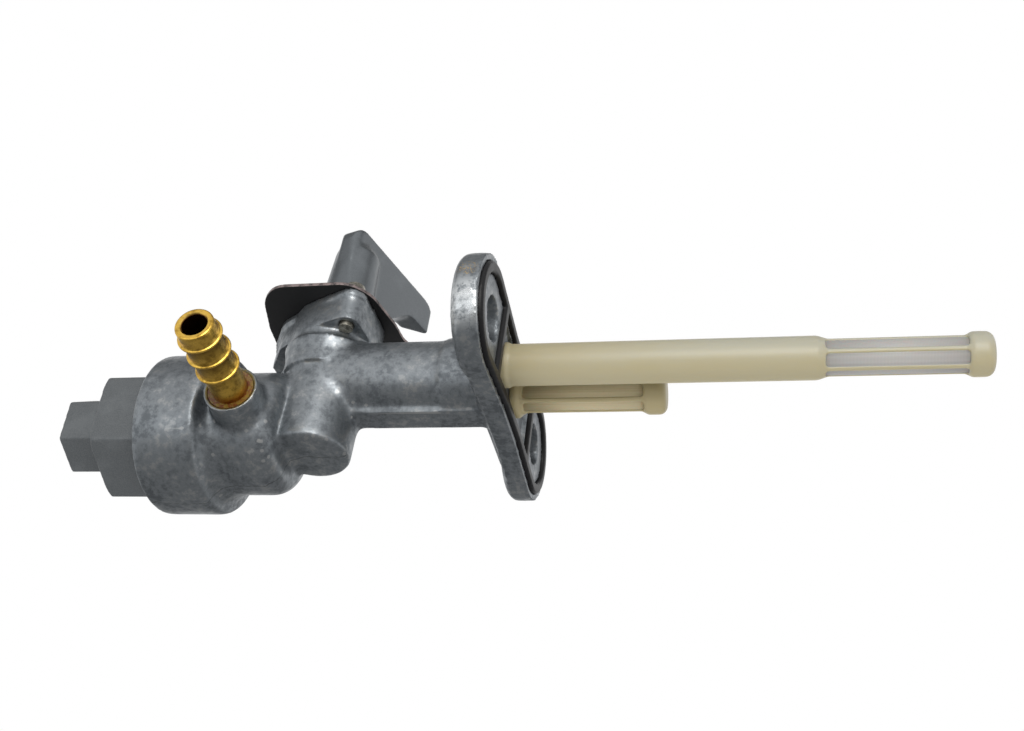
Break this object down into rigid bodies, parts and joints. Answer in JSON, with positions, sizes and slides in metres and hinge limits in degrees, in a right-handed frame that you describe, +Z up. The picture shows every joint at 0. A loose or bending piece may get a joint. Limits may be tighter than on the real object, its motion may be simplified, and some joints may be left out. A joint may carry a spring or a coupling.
{
  "type": "fuel tap",
  "caption": "Fuel tap with a lobed tank flange, main and reserve pickup tubes, a lever valve, a screwed filter bowl and a barbed outlet.",
  "frame": {"origin": "middle between the two bolt holes, on the flange's sealing face", "axes": "+Z up into the tank along the pickup tubes, X the line of the two flange bolts, outlet towards +X, lever on the -Y side"},
  "size_m": [0.0758, 0.0705, 0.1874],
  "materials": {
    "cast_metal": "die cast, mottled grey with a dull sheen and small scuffs",
    "gasket_rubber": "moulded black rubber",
    "nylon": "natural nylon, slightly yellowed",
    "gauze": "fine woven mesh",
    "brass": "turned brass",
    "sealant": "dried red-brown thread sealant",
    "seal_rubber": "moulded black rubber",
    "lever_metal": "die cast, fine matt grey",
    "spring_steel": "bright spring steel",
    "cover_steel": "black coated sheet steel with a bare cut edge",
    "screw_steel": "zinc plated steel",
    "bowl_metal": "die cast, fine matt grey"
  },
  "bodies": {
    "tap": {"body": "cast_metal", "flange_gasket": "gasket_rubber", "main_pickup_tube": "nylon", "main_strainer_gauze": "gauze", "reserve_pickup_tube": "nylon", "reserve_strainer_gauze": "gauze", "outlet_spigot": "brass", "spigot_sealant": "sealant", "valve_packing": "seal_rubber", "wave_washer": "spring_steel", "cover_plate": "cover_steel", "cover_screws": "screw_steel"},
    "lever": {"valve_lever": "lever_metal", "lever_o_ring": "seal_rubber"},
    "bowl_insert": {"bowl_o_ring": "seal_rubber", "bowl_filter_frame": "nylon", "bowl_filter_gauze": "gauze"},
    "bowl": {"filter_bowl": "bowl_metal"}
  },
  "joints": [
    {"name": "lever_turn", "type": "hinge", "parent": "tap", "child": "lever", "pos_m": [0.0018, -0.016, -0.0411], "axis": [0, -1, 0], "range_deg": [-73, 107]},
    {"name": "bowl_travel", "type": "slide", "parent": "tap", "child": "bowl_insert", "axis": [0, 0, -1], "range_m": [0, 0.009]},
    {"name": "bowl_turn", "type": "hinge", "parent": "bowl_insert", "child": "bowl", "pos_m": [0.0018, 0.0124, -0.08], "axis": [0, 0, -1], "range_deg": [0, 2160]}
  ],
  "couplings": [
    {"joint": "bowl_travel", "follows": "bowl_turn", "m_per_rad": 0.00023873}
  ]
}
